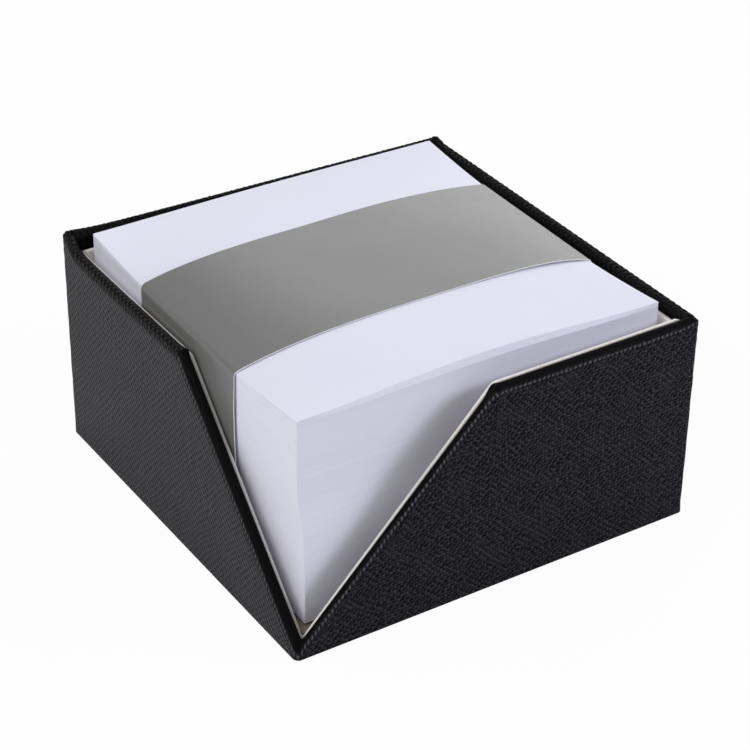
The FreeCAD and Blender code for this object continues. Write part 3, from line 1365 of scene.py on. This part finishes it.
    def build(self, finishes: Finishes) -> None:
        """Builds the reams, the loose sheets and the top sheet.

        Args:
            finishes: The object's materials.
        """
        self._ream("memo_ream_lower", self.low, self.seam, 3, finishes.memo_sides)
        self._ream("memo_ream_upper", self.seam, self.high, 4, finishes.memo_sides)
        rng = np.random.default_rng(11)
        bows = np.linspace(self.bow_low, self.bow_high, self.loose_count + 2)
        fans = np.linspace(self.fan, 0, self.loose_count + 2)
        for k in range(self.loose_count):
            piece = self._sheet(f"loose_memo_{k + 1}", self.high + k * self.sheet_t, bows[k:k + 2],
                                rng.uniform(-self.stray, self.stray, 2), fans[k:k + 2])
            self._dress(piece, f"loose_sheet_{k + 1}", "memo_cube", finishes.memo_sheet)
        z = self.high + self.loose_count * self.sheet_t + self.top_play
        piece = self._sheet("top_memo", z, bows[-2:], (0.0, 0.0), fans[-2:])
        self._dress(piece, "top_sheet", "top_sheet", finishes.memo_sheet)


# ---- paper band


@dataclass
class PaperBand:
    """Strip of coated paper round the cube, arched over the top, lapped underneath.

    Pairs are for the front and the back edge. Millimetres.
    """

    thickness: float = 0.24
    left: float = -46.56
    left_foot: float = -46.4
    right: float = 45.45
    floor_z: float = 4.1
    lap_z: float = 3.85
    lap_start: float = 5.15
    lap_end: float = -6.85
    left_edges: Pair = (-19.35, 21.1)
    right_edges: Pair = (-19.55, 21.7)
    span: float = 46.0
    centre: float = -0.6
    crown: Pair = (56.58, 56.72)
    left_end: Pair = (53.0, 53.9)
    right_end: Pair = (52.75, 53.2)
    left_power: Pair = (3.2, 4.2)
    right_power: Pair = (4.3, 2.9)
    fold_r: float = 1.4
    belly: float = 0.25
    crease_r: float = 0.54
    arch_stations: int = 74
    rows: int = 26
    cockle: Ripple = Ripple(21, 30.0, 0.045)

    def _arch(self, x: Array, v: Array) -> tuple[Array, Array]:
        """Height and slope of the top face: crown - (crown - end) |(x - centre) / span|^n.

        Args:
            x: Place along the arch.
            v: 0 at the front edge, 1 at the back.

        Returns:
            Height in mm, and slope.
        """
        crown, *pairs = (a + (b - a) * v for a, b in (
            self.crown, self.left_end, self.right_end, self.left_power, self.right_power))
        left = x < self.centre
        end, power = np.where(left, pairs[0], pairs[1]), np.where(left, pairs[2], pairs[3])
        share = np.abs((x - self.centre) / self.span)
        height = crown - (crown - end) * share**power
        slope = np.where(left, 1, -1) * (crown - end) * power / self.span * share ** (power - 1)
        return height, slope

    def _shoulder(self, edge: float, side: int, v: Array) -> tuple[Array, Array, Array, Array]:
        """The fold from a side face to the arch: a quarter turn less the arch's slope.

        Args:
            edge: Place of the side face.
            side: 1 for the left face, -1 for the right.
            v: 0 at the front edge, 1 at the back.

        Returns:
            Height of the fold's start, its X and Z from the side face up, and X of its end.
        """
        r = self.fold_r
        tilt = np.arctan(np.abs(self._arch(np.array([[edge + side * r]]), v)[1]))
        end_x = edge + side * r * (1 - np.sin(tilt))
        shoulder = self._arch(end_x, v)[0] - r * np.cos(tilt)
        turn = np.linspace(0, 1, 9) * (QUARTER - tilt)
        return shoulder, edge + side * r * (1 - np.cos(turn)), shoulder + r * np.sin(turn), end_x

    def _path(self) -> tuple[Array, Array, Array]:
        """Runs the strip's outer face from its lower end under the cube round to its upper end.

        Returns:
            X and Z of shape (rows, stations), and each row's share of the way to the back edge.
        """
        v = np.linspace(0, 1, self.rows)[:, None]
        foot, crease = np.linspace(0, QUARTER, 7), self.crease_r
        low = self.floor_z + crease
        shoulder, left_x, left_z, arch_start = self._shoulder(self.left, 1, v)
        right_shoulder, right_x, right_z, arch_end = self._shoulder(self.right, -1, v)
        share = np.linspace(0, 1, 22)[1:-1]
        side_z = low + (shoulder - low) * share
        belly = soft_step(side_z, 14.0, 40.0) * soft_step(-side_z, -51.5, -44.0) * self.belly
        lean = (self.left - self.left_foot) * soft_step(side_z, 12.0, 46.0)
        even = np.linspace(0, 1, self.arch_stations)[1:-1]
        across = 0.35 * (0.5 - 0.5 * np.cos(math.pi * even)) + 0.65 * even
        arch_x = arch_start + (arch_end - arch_start) * across
        parts = (
            (np.linspace(self.lap_start, self.lap_end + 0.6, 6), self.lap_z),
            (np.linspace(self.lap_end - 0.4, self.left_foot + crease, 12), self.floor_z),
            ((self.left_foot + crease * (1 - np.sin(foot)))[1:],
             (self.floor_z + crease * (1 - np.cos(foot)))[1:]),
            (self.left_foot + lean - belly, side_z),
            (left_x, left_z),
            (arch_x, self._arch(arch_x, v)[0]),
            (right_x[:, ::-1], right_z[:, ::-1]),
            (self.right, right_shoulder + (low - right_shoulder) * share),
            (self.right - crease * (1 - np.cos(foot)), low - crease * np.sin(foot)),
            (np.linspace(self.right - crease, self.lap_end, 18)[1:], self.floor_z),
        )
        full = [np.broadcast_arrays(x, z, v)[:2] for x, z in parts]
        x, z = (np.concatenate(column, 1) for column in zip(*full))
        return x, z, v

    def build(self, finishes: Finishes) -> None:
        """Builds the strip: outer face, and an inner one set back squarely by the thickness.

        Args:
            finishes: The object's materials.
        """
        x, z, v = self._path()
        across = (x - self.left) / (self.right - self.left)
        front, back = (a + (b - a) * across for a, b in zip(self.left_edges, self.right_edges))
        y = front + (back - front) * v
        z = z + self.cockle.at(x, y) * soft_step(z, 50.0, 54.5)
        run_x, run_z = np.gradient(x, axis=1), np.gradient(z, axis=1)
        length = np.hypot(run_x, run_z)
        inner_x = x + run_z / length * self.thickness
        inner_z = z - run_x / length * self.thickness
        piece = add_slab("paper_band_strip", np.stack([x, y, z], -1),
                         np.stack([inner_x, y, inner_z], -1))
        core = np.ones(len(piece.data.polygons), np.int32)
        core[: (x.shape[0] - 1) * (x.shape[1] - 1)] = 0
        dress(piece, "paper_band", "band", "band_paper", finishes.band_grey, finishes.band_core)
        piece.data.polygons.foreach_set("material_index", core)


# ---- studio


@dataclass
class Viewpoint:
    """Long lens from the front left, a little above."""

    place: Colour = (-0.247745, -0.382351, 0.314470)
    heading: float = 33.024
    fall: float = 32.278
    roll: float = 0.748
    focal_length: float = 114.2
    sensor: float = 36.0

    def build(self) -> None:
        """Makes the camera: level, turned to its heading, tipped down and rolled."""
        data = bpy.data.cameras.new("camera")
        data.lens = self.focal_length
        data.sensor_width = self.sensor
        data.clip_start = 0.01
        camera = add_object("camera", data)
        turned = (Matrix.Rotation(math.radians(-self.heading), 4, "Z")
                  @ Matrix.Rotation(math.radians(90 - self.fall), 4, "X")
                  @ Matrix.Rotation(math.radians(self.roll), 4, "Z"))
        camera.matrix_world = Matrix.Translation(Vector(self.place)) @ turned
        bpy.context.scene.camera = camera


@dataclass(frozen=True)
class Lamp:
    """A square soft lamp: where it hangs in metres, its side, its power in watts and its colour."""

    name: str
    place: Colour
    size: float
    power: float
    colour: Colour = (1.0, 1.0, 1.0)
    aim: Colour = (0.0, 0.0, 0.03)

    def build(self) -> None:
        """Hangs the lamp and points it at the object."""
        data = bpy.data.lights.new(self.name, "AREA")
        data.size, data.energy, data.color = self.size, self.power, self.colour
        lamp = add_object(self.name, data)
        lamp.location = self.place
        way = Vector(self.aim) - Vector(self.place)
        lamp.rotation_euler = way.to_track_quat("-Z", "Y").to_euler()


@dataclass
class Studio:
    """Pale sweep, even sky and soft lamps."""

    floor_size: float = 3.0
    floor_tones: tuple[Colour, Colour] = ((0.86, 0.86, 0.86), (0.84, 0.84, 0.84))
    floor_glow: float = 0.95
    sky: float = 0.17
    sky_tone: Colour = (0.98, 0.985, 1.0)
    lamps: tuple[Lamp, ...] = (
        Lamp("overhead", (-0.1, 0.3, 1.1), 0.9, 2.9),
        Lamp("left_high", (-0.84, -0.12, 0.81), 0.7, 7.4),
        Lamp("right_low", (1.00, -0.60, 0.45), 0.40, 9.7, (0.87, 0.88, 0.98)),
        Lamp("back_glow", (0.75, 0.83, 0.45), 0.8, 4.4),
    )

    def _sky(self) -> None:
        """Even light from all round; what the camera sees of it directly is white."""
        t = NodeTree("sky", "worlds")
        soft = t.node("Background", {"Color": (*self.sky_tone, 1), "Strength": self.sky})
        plain = t.node("Background", {"Color": (1, 1, 1, 1)})
        seen = t.value("LightPath", None, "Is Camera Ray")
        bpy.context.scene.world = t.close(t.mixed(seen, soft.outputs[0], plain.outputs[0]))

    def _floor(self) -> None:
        """Matt floor that the camera sees as nearly white, with the object's shadow on it."""
        t = NodeTree("floor")
        cloud = t.noise(t.place(), 3.0)
        matt = t.node("BsdfDiffuse", {"Color": t.blend(cloud * 0.1, *self.floor_tones)})
        glow = t.node("Emission", {"Color": (1, 1, 1, 1), "Strength": 1.0})
        seen = t.value("LightPath", None, "Is Camera Ray") * self.floor_glow
        half = self.floor_size / 2 / MM
        corners = np.array([[-half, -half, 0], [half, -half, 0], [half, half, 0], [-half, half, 0]])
        floor = add_piece("floor", corners, [[0, 1, 2, 3]])
        floor.data.materials.append(t.close(t.mixed(seen, matt.outputs[0], glow.outputs[0])))

    def build(self) -> None:
        """Makes the sky, the floor and the lamps."""
        bpy.context.scene.view_settings.view_transform = "Standard"
        self._sky()
        self._floor()
        for lamp in self.lamps:
            lamp.build()


# ---- assembly


def main() -> None:
    """Builds the studio and the object."""
    logging.basicConfig(level=logging.INFO, format="%(message)s")
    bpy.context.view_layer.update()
    Viewpoint().build()
    Studio().build()
    finishes = Finishes()
    Tray().build(finishes)
    TrayCover().build(finishes.leatherette)
    MemoCube().build(finishes)
    PaperBand().build(finishes)


if __name__ == "__main__":
    main()
